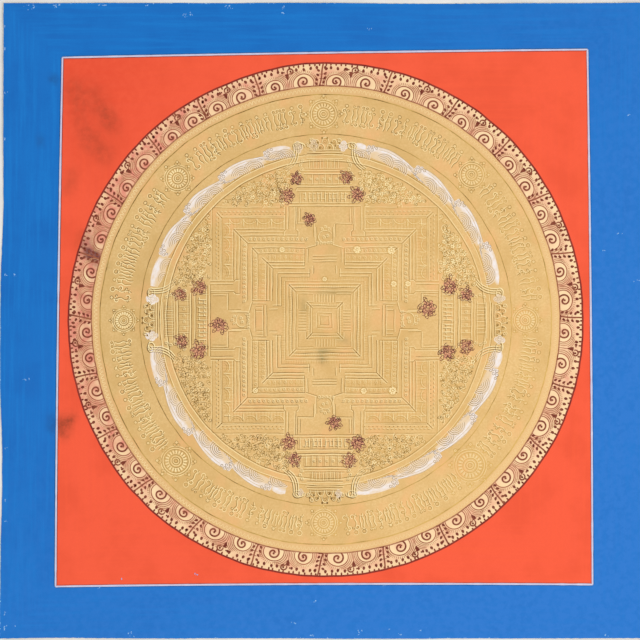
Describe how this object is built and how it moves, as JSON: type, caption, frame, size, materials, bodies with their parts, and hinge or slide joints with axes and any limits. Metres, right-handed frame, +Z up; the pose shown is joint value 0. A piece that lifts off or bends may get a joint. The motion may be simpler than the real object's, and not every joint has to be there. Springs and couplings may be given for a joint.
{
  "type": "unmounted thangka painting",
  "caption": "Square painted cloth with a gold mandala on an orange-red ground and a wide blue border, lying flat, face up.",
  "frame": {"origin": "middle of the cloth's bounding box, on the surface that it rests on", "axes": "+X to the painting's right side and +Y to its top, seen face on; +Z up, out of the painted face"},
  "size_m": [0.484, 0.4764, 0.0047],
  "materials": {
    "painted_cotton": "matt mineral colours and gold paint on stiff primed cotton, blue border, orange-red field, gold mandala"
  },
  "bodies": {
    "root": {"painted_cloth": "painted_cotton"}
  },
  "joints": []
}
